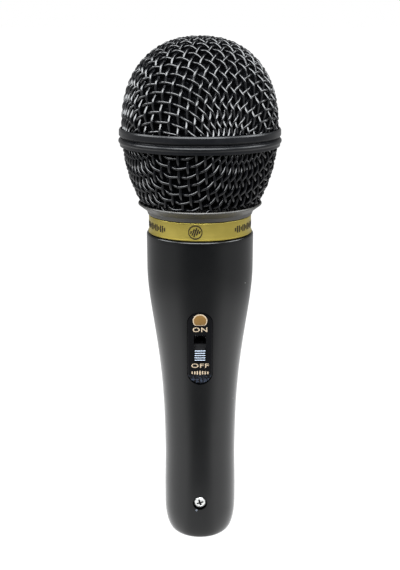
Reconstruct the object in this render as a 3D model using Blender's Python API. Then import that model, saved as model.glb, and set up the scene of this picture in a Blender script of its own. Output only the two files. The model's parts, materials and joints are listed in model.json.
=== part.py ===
"""Handheld dynamic microphone with an on/off slide switch and a three-pin cable socket.

Metres, +Z up. The origin is on the microphone's axis, in the plane of the bottom rim it stands on.
The switch faces -Y. Every turned piece is described by its section: (radius, height) points.
"""

import math

import bmesh
import bpy
from mathutils import Vector

# ---------------------------------------------------------------- driving dimensions
GAP = 0.0003                    # between touching pieces that are not the same solid
ROUND = 36                      # sides of a large turned piece
MIDDLE_ROUND = 24               # sides of a piece that fits inside the neck
SMALL_ROUND = 20                # sides of a small turned piece

# handle
HANDLE_TOP = 0.1055
BARREL_RADIUS = 0.0118          # slim waist of the lower part
SHOULDER_RADIUS = 0.01715       # thick upper part
TAPER_START, TAPER_END = 0.010, 0.094
TAPER_SKEW = 2.1                # above 1 pushes the taper's steep part upwards
FOOT_FLARE = 0.00027            # how much the foot swells beyond the waist
FLARE_START, FLARE_END = 0.030, 0.015
RIM_RADIUS = 0.0093             # flat ring that the microphone stands on
END_ROUND_HEIGHT = 0.0100       # height over which the end rounds in to the rim
WALL = 0.0024

# cable socket in the handle's end
SOCKET_RADIUS = 0.00805
INSERT_FACE, INSERT_BACK = 0.0118, 0.0240
SHOULDER_LIP = 0.0014           # height of the shoulder above the insert
PIN_RADIUS = 0.0012
PIN_TIP = 0.0022
PIN_PLACES = {1: (-0.0038, -0.0024), 2: (0.0038, -0.0024), 3: (0.0, 0.0033)}
SCREW_HEIGHT = 0.0142
SCREW_HEAD_RADIUS = 0.0021
SCREW_SHANK_RADIUS = 0.0012
COUNTERBORE_RADIUS = 0.00245
COUNTERBORE_DEPTH = 0.0019

# neck, trim ring and grille
NECK_RADIUS = 0.01445
NECK_WALL = 0.0019
NECK_BOTTOM, NECK_TOP = 0.0920, 0.1160
TRIM_RADIUS = 0.0164
TRIM_BOTTOM, TRIM_TOP = HANDLE_TOP + GAP, 0.1112
COLLAR_BOTTOM, COLLAR_TOP = 0.1115, 0.1152
COLLAR_RADIUS = 0.0167          # at the collar's lower edge
THREAD_DEPTH = 0.0007
GROOVE_DEPTH = 0.0010           # of the collar's groove round the lower mesh's edge
SKIRT_RISE = 0.0006             # of the collar's threaded skirt above its lip
LIP_WALL = 0.0005               # of the collar's lip outside the lower mesh
BAND_BOTTOM, BAND_SEAM, BAND_TOP = 0.1331, 0.1358, 0.1386
UPPER_LEDGE, LOWER_LEDGE = 0.0018, 0.0011   # thickness of each band's ledge under its mesh's edge
BAND_UPPER_RADIUS, BAND_LOWER_RADIUS = 0.0254, 0.0256
MESH_THICKNESS = 0.0012
DOME_RADIUS, DOME_HEIGHT, DOME_CENTRE, DOME_POWER = 0.0247, 0.0279, 0.1386, 2.25
BOWL_RADIUS, BOWL_HEIGHT, BOWL_CENTRE = 0.02465, 0.0348, 0.1374
FOAM_CLEARANCE = 0.0006         # between the mesh and the foam behind it
FOAM_THICKNESS = 0.0022

# switch, in the frame of its tilted plate
PLATE_WIDTH, PLATE_LENGTH, PLATE_THICKNESS = 0.0079, 0.0254, 0.0010
PLATE_HEIGHT = 0.0702           # height of the plate's centre above the rim
PLATE_SINK = 0.00045            # of the plate's face below the handle's surface
SLOT_WIDTH, SLOT_LENGTH = 0.0038, 0.0092
MARKER_RADIUS, MARKER_HEIGHT = 0.0023, 0.0097     # of the on marker, and its centre above the plate's
KNOB_WIDTH, KNOB_LENGTH, KNOB_PROUD = 0.0034, 0.0037, 0.0009
KNOB_REST = -0.0022             # knob's centre at rest, which is off
KNOB_RIBS = 5
HOUSING_WIDTH, HOUSING_LENGTH, HOUSING_DEPTH = 0.0068, 0.0152, 0.0060
HOUSING_WALL = 0.0007
TERMINAL_PITCH = 0.0044

# microphone capsule
CAPSULE_RADIUS = 0.0122
CAPSULE_BOTTOM, CAPSULE_TOP = 0.1180, 0.1355
YOKE_RADIUS, YOKE_BORE = 0.0092, 0.0074
COIL_INNER, COIL_OUTER = 0.0065, 0.0070
POLE_RADIUS = 0.0062
CAN_RADIUS, CAN_BOTTOM = 0.0110, 0.1072
LEAD_RADIUS = 0.00055


# ---------------------------------------------------------------- materials
def material(name, colour, roughness, metallic=0.0):
    """A Principled material, made once and shared by name."""
    found = bpy.data.materials.get(name)
    if found:
        return found
    made = bpy.data.materials.new(name)
    made.use_nodes = True
    shader = made.node_tree.nodes["Principled BSDF"]
    shader.inputs["Base Color"].default_value = (*colour, 1.0)
    shader.inputs["Roughness"].default_value = roughness
    shader.inputs["Metallic"].default_value = metallic
    return made


def handle_paint():
    return material("handle_paint", (0.022, 0.023, 0.025), 0.45)


def band_paint():
    return material("band_paint", (0.030, 0.032, 0.036), 0.38)


def mesh_paint():
    return material("mesh_paint", (0.020, 0.020, 0.022), 0.35)


def gold():
    return material("gold_anodised", (0.62, 0.46, 0.13), 0.30, 1.0)


def black_plastic():
    return material("black_plastic", (0.015, 0.015, 0.016), 0.50)


def grey_plastic():
    return material("grey_plastic", (0.42, 0.45, 0.50), 0.40)


def foam():
    return material("foam", (0.012, 0.012, 0.013), 0.95)


def rubber():
    return material("rubber", (0.020, 0.020, 0.020), 0.80)


def steel():
    return material("steel", (0.60, 0.60, 0.60), 0.30, 1.0)


def magnet_metal():
    return material("magnet_metal", (0.42, 0.42, 0.44), 0.35, 1.0)


def copper():
    return material("copper", (0.72, 0.36, 0.18), 0.35, 1.0)


def film():
    return material("diaphragm_film", (0.75, 0.72, 0.62), 0.25)


def board():
    return material("phenolic_board", (0.30, 0.17, 0.07), 0.60)


def wire_cover(colour_name, colour):
    return material("wire_cover_" + colour_name, colour, 0.50)


# ---------------------------------------------------------------- modelling helpers
def finish(mesh_builder, name, look, smooth_angle=35):
    """Turns a bmesh into a shaded, named object."""
    bmesh.ops.recalc_face_normals(mesh_builder, faces=mesh_builder.faces)
    mesh = bpy.data.meshes.new(name)
    mesh_builder.to_mesh(mesh)
    mesh_builder.free()
    mesh.shade_smooth()
    mesh.set_sharp_from_angle(angle=math.radians(smooth_angle))
    mesh.materials.append(look)
    made = bpy.data.objects.new(name, mesh)
    bpy.context.scene.collection.objects.link(made)
    return made


def turned(name, section, look, sides=ROUND, axis=(0, 0, 1)):
    """A closed section of (radius, height) points spun about the axis through the object's origin."""
    builder = bmesh.new()
    points = [builder.verts.new((radius, 0, height)) for radius, height in section]
    edges = [builder.edges.new((points[i - 1], points[i])) for i in range(len(points))]
    bmesh.ops.spin(builder, geom=points + edges, cent=(0, 0, 0), axis=(0, 0, 1), angle=math.tau,
                   steps=sides, use_merge=True)
    bmesh.ops.remove_doubles(builder, verts=builder.verts, dist=1e-6)
    on_axis = [edge for edge in builder.edges
               if all(math.hypot(vert.co.x, vert.co.y) < 1e-6 for vert in edge.verts)]
    bmesh.ops.delete(builder, geom=on_axis, context="EDGES_FACES")
    made = finish(builder, name, look)
    made.rotation_euler = Vector(axis).to_track_quat("Z", "Y").to_euler()
    return made


def ring(name, inner, outer, low, high, look, sides=ROUND):
    """A plain washer or tube."""
    return turned(name, [(inner, low), (outer, low), (outer, high), (inner, high)], look, sides)


def disc(name, radius, low, high, look, sides=SMALL_ROUND, axis=(0, 0, 1)):
    """A plain solid cylinder."""
    return turned(name, [(0, low), (radius, low), (radius, high), (0, high)], look, sides, axis)


def extruded(name, outline, depth, look, direction=(0, 1, 0)):
    """A flat outline, given as 3-D points, pushed along direction by depth."""
    builder = bmesh.new()
    face = builder.faces.new([builder.verts.new(point) for point in outline])
    pushed = bmesh.ops.extrude_face_region(builder, geom=[face])
    moved = [item for item in pushed["geom"] if isinstance(item, bmesh.types.BMVert)]
    bmesh.ops.translate(builder, verts=moved, vec=Vector(direction).normalized() * depth)
    return finish(builder, name, look)


def block(name, size, centre, look):
    """A box of the given size about a centre."""
    builder = bmesh.new()
    bmesh.ops.create_cube(builder, size=1.0)
    bmesh.ops.scale(builder, vec=size, verts=builder.verts)
    bmesh.ops.translate(builder, vec=centre, verts=builder.verts)
    return finish(builder, name, look)


def arc(centre, radii, start, end, steps):
    """Points on an elliptical arc in a section, with angles in degrees."""
    swept = [math.radians(start + (end - start) * i / steps) for i in range(steps + 1)]
    return [(centre[0] + radii[0] * math.cos(a), centre[1] + radii[1] * math.sin(a)) for a in swept]


def combine(target, tool, operation):
    """Adds tool to, or cuts it from, target with an exact Boolean, and hides the tool."""
    modifier = target.modifiers.new(tool.name, "BOOLEAN")
    modifier.operation = operation
    modifier.solver = "EXACT"
    modifier.object = tool
    tool.hide_render = True
    tool.display_type = "WIRE"


def cut(target, tool):
    combine(target, tool, "DIFFERENCE")


def join(target, tool):
    combine(target, tool, "UNION")


def stadium(width, length, depth_at, steps=12):
    """An upright outline with round ends, in the XZ plane at y = depth_at."""
    radius = width / 2
    straight = length / 2 - radius
    top = arc((0, straight), (radius, radius), 0, 180, steps)
    bottom = arc((0, -straight), (radius, radius), 180, 360, steps)
    return [(x, depth_at, z) for x, z in top + bottom]


def lead(name, route, look, radius=LEAD_RADIUS):
    """A thin wire along a smooth curve through the route's points."""
    points = smooth_route([Vector(point) for point in route], pieces=3)
    curve = bpy.data.curves.new(name, "CURVE")
    curve.dimensions = "3D"
    curve.bevel_depth = radius
    curve.bevel_resolution = 2
    curve.use_fill_caps = True
    spline = curve.splines.new("POLY")
    spline.points.add(len(points) - 1)
    for target, point in zip(spline.points, points):
        target.co = (*point, 1.0)
    curve.materials.append(look)
    made = bpy.data.objects.new(name, curve)
    bpy.context.scene.collection.objects.link(made)
    return made


def smooth_route(points, pieces):
    """Catmull-Rom points through the given ones, with straight ends."""
    padded = [2 * points[0] - points[1], *points, 2 * points[-1] - points[-2]]
    found = []
    for before, start, end, after in zip(padded, padded[1:], padded[2:], padded[3:]):
        for step in range(pieces):
            t = step / pieces
            found.append(0.5 * ((2 * start) + (end - before) * t
                                + (2 * before - 5 * start + 4 * end - after) * t ** 2
                                + (3 * start - before - 3 * end + after) * t ** 3))
    return [*found, points[-1]]


# ---------------------------------------------------------------- outlines
def handle_radius(height):
    """Outer radius of the handle: slim barrel, skewed smooth taper, thick shoulder, rounded end."""
    taper = smooth_step((height - TAPER_START) / (TAPER_END - TAPER_START), TAPER_SKEW)
    flare = smooth_step((height - FLARE_START) / (FLARE_END - FLARE_START))
    radius = BARREL_RADIUS + (SHOULDER_RADIUS - BARREL_RADIUS) * taper + FOOT_FLARE * flare
    if height < END_ROUND_HEIGHT:
        share = 1 - height / END_ROUND_HEIGHT
        radius -= (BARREL_RADIUS + FOOT_FLARE - RIM_RADIUS) * (1 - math.sqrt(1 - share ** 2))
    return radius


def smooth_step(share, skew=1.0):
    """Eases from 0 to 1 as share goes from 0 to 1."""
    held = min(max(share, 0.0), 1.0) ** skew
    return held * held * (3 - 2 * held)


def dome_radius(height, inset=0.0):
    """Radius of the upper grille's surface, inset inwards, at a height at or above its widest place."""
    share = max(height - DOME_CENTRE, 0.0) / (DOME_HEIGHT - inset)
    return (DOME_RADIUS - inset) * max(1 - share ** DOME_POWER, 0.0) ** (1 / DOME_POWER)


def bowl_radius(height, inset=0.0):
    """Radius of the lower grille's surface, inset inwards."""
    share = (BOWL_CENTRE - height) / BOWL_HEIGHT
    return BOWL_RADIUS * math.sqrt(1 - share ** 2) - inset


def dome_line(inset, bottom, steps=7):
    """Section points of a dome surface from its bottom edge up to the pole."""
    top = DOME_HEIGHT - inset
    angles = [math.radians(90 * i / steps) for i in range(steps + 1)]
    heights = [DOME_CENTRE + top * math.sin(a) for a in angles]
    curved = [(dome_radius(height, inset), height) for height in heights[:-1]]
    return [(DOME_RADIUS - inset, bottom), *curved, (0.0, DOME_CENTRE + top)]


def bowl_line(inset, bottom, top, steps=4):
    """Section points of a bowl surface from its bottom edge up to its top edge."""
    heights = [bottom + (top - bottom) * i / steps for i in range(steps + 1)]
    return [(bowl_radius(height, inset), height) for height in heights]


# ---------------------------------------------------------------- handle and socket
def handle_shell():
    steps = 13
    low = [END_ROUND_HEIGHT * (1 - math.cos(math.radians(90 * i / 5))) for i in range(6)]
    rise = [END_ROUND_HEIGHT + (HANDLE_TOP - 0.0005 - END_ROUND_HEIGHT) * i / steps
            for i in range(1, steps + 1)]
    outside = [(handle_radius(height), height) for height in low + rise]
    top_edge = [(SHOULDER_RADIUS - 0.0002, HANDLE_TOP - 0.0001), (SHOULDER_RADIUS - 0.0005, HANDLE_TOP)]
    seat = NECK_RADIUS + GAP
    neck_seat = [(seat, HANDLE_TOP), (seat, NECK_BOTTOM - GAP)]
    inner_heights = [NECK_BOTTOM - 0.003 - i * 0.010 for i in range(7)]
    inside = [(min(handle_radius(height) - WALL, seat - 0.0006), height) for height in inner_heights]
    cavity_floor = INSERT_BACK + GAP + SHOULDER_LIP
    lip_radius = SOCKET_RADIUS - 0.0009
    barrel_bore = BARREL_RADIUS - WALL
    socket = [(barrel_bore, cavity_floor + 0.0012), (lip_radius, cavity_floor),
              (lip_radius, INSERT_BACK + GAP), (SOCKET_RADIUS, INSERT_BACK + GAP),
              (SOCKET_RADIUS, 0.0005), (SOCKET_RADIUS + 0.0003, 0.0)]
    shell = turned("handle_shell", outside + top_edge + neck_seat + inside + socket, handle_paint())

    outward = (0, -1, 0)
    depth = handle_radius(SCREW_HEIGHT)
    counterbore = disc("cutter_counterbore", COUNTERBORE_RADIUS, depth - COUNTERBORE_DEPTH,
                       depth + 0.002, handle_paint(), 24, outward)
    counterbore.location.z = SCREW_HEIGHT
    cut(shell, counterbore)
    screw_hole = disc("cutter_screw_hole", SCREW_SHANK_RADIUS + GAP, SOCKET_RADIUS - 0.002,
                      depth, handle_paint(), 16, outward)
    screw_hole.location.z = SCREW_HEIGHT
    cut(shell, screw_hole)

    latch_notch = block("cutter_latch_notch", (0.0032, 0.0026, 0.0026),
                        (0, SOCKET_RADIUS, 0.0052), handle_paint())
    cut(shell, latch_notch)
    return shell


def connector_insert():
    """Insulator that holds the three contacts, with a blind side hole for its screw."""
    radius = SOCKET_RADIUS - GAP
    section = [(0, INSERT_FACE), (radius - 0.0003, INSERT_FACE), (radius, INSERT_FACE + 0.0003),
               (radius, INSERT_BACK), (0, INSERT_BACK)]
    body = turned("connector_insert", section, black_plastic(), MIDDLE_ROUND)
    for number, (x, y) in PIN_PLACES.items():
        hole = disc(f"cutter_pin_hole_{number}", PIN_RADIUS + GAP, INSERT_FACE - 0.002,
                    INSERT_BACK + 0.002, black_plastic(), 20)
        hole.location = (x, y, 0)
        cut(body, hole)
    side_hole = disc("cutter_insert_side_hole", SCREW_SHANK_RADIUS + GAP, SOCKET_RADIUS - 0.0043,
                     SOCKET_RADIUS + 0.001, black_plastic(), 16, (0, -1, 0))
    side_hole.location.z = SCREW_HEIGHT
    cut(body, side_hole)


def connector_pins():
    """Round contacts with domed tips and a solder cup at the back."""
    back = INSERT_BACK + 0.0038
    cup_floor = back - 0.0024
    for number, (x, y) in PIN_PLACES.items():
        tip = [(0, PIN_TIP), *arc((0, PIN_TIP + PIN_RADIUS), (PIN_RADIUS, PIN_RADIUS), -60, 0, 4)]
        cup = [(PIN_RADIUS, back), (PIN_RADIUS - 0.0004, back), (PIN_RADIUS - 0.0004, cup_floor),
               (0, cup_floor)]
        pin = turned(f"connector_pin_{number}", tip + cup, gold(), 20)
        pin.location = (x, y, 0)


def connector_screw():
    """Cross-recess pan screw that goes in through the handle and holds the insert."""
    seat = handle_radius(SCREW_HEIGHT) - COUNTERBORE_DEPTH + GAP
    head_top = seat + 0.0013
    shank_end = SOCKET_RADIUS - 0.0040
    dome = arc((0, seat + 0.0005), (SCREW_HEAD_RADIUS, 0.0008), 0, 75, 5)
    section = [(0, shank_end), (SCREW_SHANK_RADIUS - 0.0004, shank_end),
               (SCREW_SHANK_RADIUS, shank_end + 0.0006), (SCREW_SHANK_RADIUS, seat),
               (SCREW_HEAD_RADIUS, seat), *dome, (0, head_top)]
    screw = turned("connector_screw", section, steel(), 24, (0, -1, 0))
    screw.location.z = SCREW_HEIGHT
    arm = 0.0026
    for label, size in (("across", (arm, 0.0016, 0.0006)), ("upright", (0.0006, 0.0016, arm))):
        slot = block(f"cutter_cross_{label}", size, (0, -head_top, SCREW_HEIGHT), steel())
        cut(screw, slot)


# ---------------------------------------------------------------- neck and trim
def neck_sleeve():
    """Sleeve set in the handle's top: the capsule sits in it and the grille screws on to it."""
    bore = NECK_RADIUS - NECK_WALL
    lead_in = 0.0005
    section = [(bore, NECK_BOTTOM), (NECK_RADIUS - lead_in, NECK_BOTTOM),
               (NECK_RADIUS, NECK_BOTTOM + lead_in), (NECK_RADIUS, NECK_TOP - lead_in),
               (NECK_RADIUS - lead_in, NECK_TOP), (bore, NECK_TOP)]
    turned("neck_sleeve", section, black_plastic())


def trim_ring():
    """Gold ring between the handle and the grille's collar."""
    edge = 0.00025
    section = [(NECK_RADIUS + GAP, TRIM_BOTTOM), (TRIM_RADIUS - edge, TRIM_BOTTOM),
               (TRIM_RADIUS, TRIM_BOTTOM + edge), (TRIM_RADIUS, TRIM_TOP - edge),
               (TRIM_RADIUS - edge, TRIM_TOP), (NECK_RADIUS + GAP, TRIM_TOP)]
    turned("gold_trim_ring", section, gold())


# ---------------------------------------------------------------- grille head
def grille_collar():
    """Flared threaded collar with a groove that holds the lower mesh's edge."""
    groove_floor = COLLAR_TOP - GROOVE_DEPTH
    mesh_edge = bowl_radius(groove_floor)
    mesh_at_lip = bowl_radius(COLLAR_TOP)
    lip_radius = mesh_at_lip + GAP + LIP_WALL
    thread = NECK_RADIUS + GAP
    skirt_top = COLLAR_TOP + SKIRT_RISE
    section = [(thread, COLLAR_BOTTOM), (COLLAR_RADIUS - 0.0003, COLLAR_BOTTOM),
               (COLLAR_RADIUS, COLLAR_BOTTOM + 0.0003), (COLLAR_RADIUS + 0.0004, COLLAR_BOTTOM + 0.0014),
               (lip_radius - 0.0001, COLLAR_TOP - 0.0005), (lip_radius, COLLAR_TOP - 0.0002),
               (lip_radius, COLLAR_TOP), (mesh_at_lip + GAP, COLLAR_TOP),
               (mesh_edge + GAP, groove_floor), (thread + THREAD_DEPTH, groove_floor),
               (thread + THREAD_DEPTH, skirt_top), (thread, skirt_top)]
    turned("grille_collar", section, band_paint())


def grille_bowl():
    """Lower mesh, between the collar and the band, as a closed skin of the weave's thickness."""
    bottom, top = COLLAR_TOP - GROOVE_DEPTH + GAP, BAND_SEAM - GAP - LOWER_LEDGE - GAP
    outside = bowl_line(0.0, bottom, top)
    inside = bowl_line(MESH_THICKNESS, bottom, top)
    turned("grille_bowl_mesh", outside + inside[::-1], mesh_paint())


def grille_dome():
    """Upper mesh, a closed skin of the weave's thickness."""
    bottom = BAND_SEAM + GAP / 2 + UPPER_LEDGE + GAP
    outside = dome_line(0.0, bottom)
    inside = dome_line(MESH_THICKNESS, bottom)
    turned("grille_dome_mesh", outside + inside[::-1], mesh_paint())


def grille_bands():
    """The two rings around the grille's waist, each with a lip outside the mesh and a ledge under it."""
    ledge = DOME_RADIUS - MESH_THICKNESS - 0.0003
    lip = DOME_RADIUS + 0.00018
    upper, lower = BAND_UPPER_RADIUS, BAND_LOWER_RADIUS
    low, seam = BAND_SEAM + GAP / 2, BAND_SEAM - GAP / 2
    upper_section = [(ledge, low), (upper - 0.0005, low), (upper, low + 0.0004), (upper, BAND_TOP - 0.0003),
                     (upper - 0.0002, BAND_TOP), (lip, BAND_TOP), (lip, low + UPPER_LEDGE),
                     (ledge, low + UPPER_LEDGE)]
    turned("band_upper_ring", upper_section, band_paint())
    bead = 0.0006
    shoulder = arc((lower - bead, seam - bead), (bead, bead), 0, 90, 2)
    lower_section = [(ledge, seam - LOWER_LEDGE), (lip, seam - LOWER_LEDGE), (lip, BAND_BOTTOM),
                     (lip + 0.0002, BAND_BOTTOM), *shoulder, (ledge, seam)]
    turned("band_lower_ring", lower_section, band_paint())


def foam_liners():
    """Open-cell foam inside both halves of the grille."""
    outer = MESH_THICKNESS + FOAM_CLEARANCE
    inner = outer + FOAM_THICKNESS
    bottom = BAND_SEAM + GAP / 2
    upper = dome_line(outer, bottom) + dome_line(inner, bottom)[::-1]
    turned("foam_liner_upper", upper, foam(), MIDDLE_ROUND)
    low, top = NECK_TOP + GAP, BAND_SEAM - GAP / 2
    lower = bowl_line(outer, low, top) + bowl_line(inner, low, top)[::-1]
    turned("foam_liner_lower", lower, foam(), MIDDLE_ROUND)


# ---------------------------------------------------------------- capsule
def capsule_frame():
    """Plastic basket that carries the magnet system and clamps the diaphragm's edge."""
    floor = CAPSULE_BOTTOM + 0.0010
    ledge = CAPSULE_TOP - 0.0052
    rim = ledge + 0.0016
    bore = YOKE_RADIUS + GAP
    section = [(0.0050, CAPSULE_BOTTOM), (CAPSULE_RADIUS, CAPSULE_BOTTOM), (CAPSULE_RADIUS, rim),
               (0.0114, rim), (0.0114, ledge), (bore, ledge), (bore, floor), (0.0050, floor)]
    turned("capsule_frame", section, black_plastic(), MIDDLE_ROUND)


def magnet_system():
    """Steel pot, disc magnet and pole cap, with a ring-shaped gap around the cap for the coil."""
    base = CAPSULE_BOTTOM + 0.0010 + GAP
    floor = base + 0.0014
    rim = base + 0.0098
    pot = [(0, base), (YOKE_RADIUS, base), (YOKE_RADIUS, rim), (YOKE_BORE, rim), (YOKE_BORE, floor),
           (0, floor)]
    turned("magnet_yoke", pot, steel(), MIDDLE_ROUND)
    magnet_top = floor + GAP + 0.0054
    disc("magnet_disc", POLE_RADIUS - 0.0003, floor + GAP, magnet_top, magnet_metal(), MIDDLE_ROUND)
    disc("pole_cap", POLE_RADIUS, magnet_top + GAP, rim, steel(), MIDDLE_ROUND)
    return rim


def diaphragm(coil_base):
    """Thin domed film with its edge roll, and the coil that hangs from it."""
    level = CAPSULE_TOP - 0.0046
    skin = 0.00018
    edge = 0.0110
    roll_end = edge - 0.0006
    crown = arc((0, level), (COIL_OUTER, 0.0022), 90, 0, 5)
    roll = arc(((COIL_OUTER + roll_end) / 2, level), ((roll_end - COIL_OUTER) / 2, 0.0008), 180, 0, 4)
    top = [*crown[:-1], *roll, (edge, level)]
    under = [(radius, height - skin) for radius, height in top]
    turned("diaphragm", top + under[::-1], film(), MIDDLE_ROUND)
    ring("voice_coil", COIL_INNER, COIL_OUTER, coil_base, level - skin - GAP, copper(), MIDDLE_ROUND)


def capsule_front():
    """Perforated front cap with a felt disc behind it."""
    skirt_bottom = CAPSULE_TOP - 0.0033
    plate_bottom = CAPSULE_TOP - 0.0009
    inner = CAPSULE_RADIUS - 0.0009
    section = [(0, plate_bottom), (inner, plate_bottom), (inner, skirt_bottom), (CAPSULE_RADIUS, skirt_bottom),
               (CAPSULE_RADIUS, CAPSULE_TOP - 0.0004), (CAPSULE_RADIUS - 0.0004, CAPSULE_TOP), (0, CAPSULE_TOP)]
    cap = turned("capsule_front_cap", section, black_plastic(), MIDDLE_ROUND)
    hole_places = [(0.0, 0.0)]
    hole_count, hole_circle = 8, 0.0066
    for turn in (math.tau * i / hole_count for i in range(hole_count)):
        hole_places.append((hole_circle * math.cos(turn), hole_circle * math.sin(turn)))
    for number, (x, y) in enumerate(hole_places):
        hole = disc(f"cutter_cap_hole_{number}", 0.0014, plate_bottom - 0.001, CAPSULE_TOP + 0.001,
                    black_plastic(), 10)
        hole.location = (x, y, 0)
        cut(cap, hole)
    disc("front_felt", inner - GAP, plate_bottom - GAP - 0.0004, plate_bottom - GAP, foam(), MIDDLE_ROUND)


def capsule_back():
    """Rear air chamber, terminal board with two tags, and the rubber mount that carries the capsule."""
    wall = 0.0008
    top = CAPSULE_BOTTOM - GAP
    can = [(0, CAN_BOTTOM), (CAN_RADIUS, CAN_BOTTOM), (CAN_RADIUS, top), (CAN_RADIUS - wall, top),
           (CAN_RADIUS - wall, CAN_BOTTOM + wall), (0, CAN_BOTTOM + wall)]
    turned("capsule_rear_can", can, black_plastic(), MIDDLE_ROUND)
    board_top = CAN_BOTTOM - GAP
    board_bottom = board_top - 0.0012
    disc("terminal_board", 0.0085, board_bottom, board_top, board(), MIDDLE_ROUND)
    tag_top = board_bottom - GAP
    for side, x in (("left", -0.0040), ("right", 0.0040)):
        block(f"terminal_tag_{side}", (0.0022, 0.0005, 0.0032), (x, 0, tag_top - 0.0016), copper())

    mount_inner = CAN_RADIUS + GAP
    mount_outer = NECK_RADIUS - NECK_WALL - GAP
    flange_low, flange_high = NECK_TOP + GAP, CAPSULE_BOTTOM - GAP
    mount = [(mount_inner, 0.1085), (mount_outer, 0.1085), (mount_outer, flange_low),
             (0.0142, flange_low), (0.0142, flange_high), (mount_inner, flange_high)]
    turned("shock_mount", mount, rubber(), MIDDLE_ROUND)
    return tag_top - 0.0032


# ---------------------------------------------------------------- switch
def switch_parent():
    """Empty at the centre of the switch plate's face. Its -Y points out of the handle, its Z up the plate."""
    half = PLATE_LENGTH / 2
    rise = handle_radius(PLATE_HEIGHT + half) - handle_radius(PLATE_HEIGHT - half)
    holder = bpy.data.objects.new("switch_place", None)
    bpy.context.scene.collection.objects.link(holder)
    holder.location = (0, -(handle_radius(PLATE_HEIGHT) - PLATE_SINK), PLATE_HEIGHT)
    holder.rotation_euler = (math.atan2(rise, PLATE_LENGTH), 0, 0)
    return holder


def switch_openings(holder, shell):
    """Pocket for the plate and the window behind it, cut in the handle."""
    pocket_depth = PLATE_THICKNESS + GAP
    clear = 0.0002
    pocket = extruded("cutter_plate_pocket",
                      stadium(PLATE_WIDTH + 2 * clear, PLATE_LENGTH + 2 * clear, -0.004),
                      0.004 + pocket_depth, handle_paint())
    window = block("cutter_switch_window", (HOUSING_WIDTH + 2 * GAP, 0.006, HOUSING_LENGTH + 2 * GAP),
                   (0, 0.0035, 0), handle_paint())
    for tool in (pocket, window):
        tool.parent = holder
        cut(shell, tool)


def switch_plate(holder):
    """Black plate with the knob's slot and a pocket for the gold marker."""
    plate = extruded("switch_plate", stadium(PLATE_WIDTH, PLATE_LENGTH, 0.0), PLATE_THICKNESS,
                     black_plastic())
    slot = block("cutter_knob_slot", (SLOT_WIDTH, 0.004, SLOT_LENGTH), (0, 0, 0), black_plastic())
    marker_pocket = extruded("cutter_marker_pocket", marker_outline(MARKER_RADIUS + GAP, -0.001),
                             0.0016, black_plastic())
    marker = extruded("gold_marker", marker_outline(MARKER_RADIUS, -0.0001), 0.0004, gold())
    cut(plate, slot)
    cut(plate, marker_pocket)
    for piece in (plate, slot, marker_pocket, marker):
        piece.parent = holder


def marker_outline(radius, depth_at):
    """A disc with its lowest part cut off flat."""
    flat_from = -46
    return [(x, depth_at, z)
            for x, z in arc((0, MARKER_HEIGHT), (radius, radius), flat_from, 180 - flat_from, 22)]


def switch_housing(holder):
    """Open-fronted box behind the plate, with three contact slots through its floor."""
    front = PLATE_THICKNESS + GAP
    centre = front + HOUSING_DEPTH / 2
    box = block("switch_housing", (HOUSING_WIDTH, HOUSING_DEPTH, HOUSING_LENGTH), (0, centre, 0), steel())
    inside = block("cutter_housing_inside",
                   (HOUSING_WIDTH - 2 * HOUSING_WALL, HOUSING_DEPTH, HOUSING_LENGTH - 2 * HOUSING_WALL),
                   (0, centre - HOUSING_WALL, 0), steel())
    cut(box, inside)
    for piece in (box, inside):
        piece.parent = holder
    floor = front + HOUSING_DEPTH
    for number in (1, 2, 3):
        height = (2 - number) * TERMINAL_PITCH
        slot = block(f"cutter_terminal_slot_{number}", (0.0022, 0.002, 0.0010), (0, floor - 0.0003, height),
                     steel())
        slot.parent = holder
        cut(box, slot)
        terminal = block(f"switch_terminal_{number}", (0.0016, 0.0045, 0.0005), (0, floor + 0.0006, height),
                         copper())
        terminal.parent = holder


def switch_knob(holder):
    """Ribbed finger knob on a wider shoe that slides inside the housing, and the contact clip under it."""
    rib = KNOB_LENGTH / (2 * KNOB_RIBS - 1)
    bottom = KNOB_REST - KNOB_LENGTH / 2
    shoe_top = PLATE_THICKNESS + GAP
    valley = -KNOB_PROUD + 0.00035
    outline = [(shoe_top + 0.0003, bottom)]
    for number in range(KNOB_RIBS):
        start = bottom + 2 * number * rib
        outline += [(valley, start), (-KNOB_PROUD, start + 0.25 * rib), (-KNOB_PROUD, start + 0.75 * rib),
                    (valley, start + rib)]
    outline.append((shoe_top + 0.0003, bottom + KNOB_LENGTH))
    half = KNOB_WIDTH / 2
    knob = extruded("switch_knob", [(-half, y, z) for y, z in outline], KNOB_WIDTH, grey_plastic(), (1, 0, 0))
    shoe = block("tool_knob_shoe", (0.0048, 0.0010, 0.0058), (0, shoe_top + 0.0005, KNOB_REST), grey_plastic())
    join(knob, shoe)

    clip_front = shoe_top + 0.0010 + GAP
    leg_end = PLATE_THICKNESS + GAP + HOUSING_DEPTH - 0.0023
    strip = 0.00035
    spread = 0.0026
    bridge = [(clip_front, -spread), (leg_end, -spread), (leg_end, -spread + strip),
              (clip_front + strip, -spread + strip), (clip_front + strip, spread - strip),
              (leg_end, spread - strip), (leg_end, spread), (clip_front, spread)]
    clip = extruded("contact_clip", [(-0.0015, y, z + KNOB_REST) for y, z in bridge], 0.0030, copper(), (1, 0, 0))
    for piece in (knob, shoe, clip):
        piece.parent = holder


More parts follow.
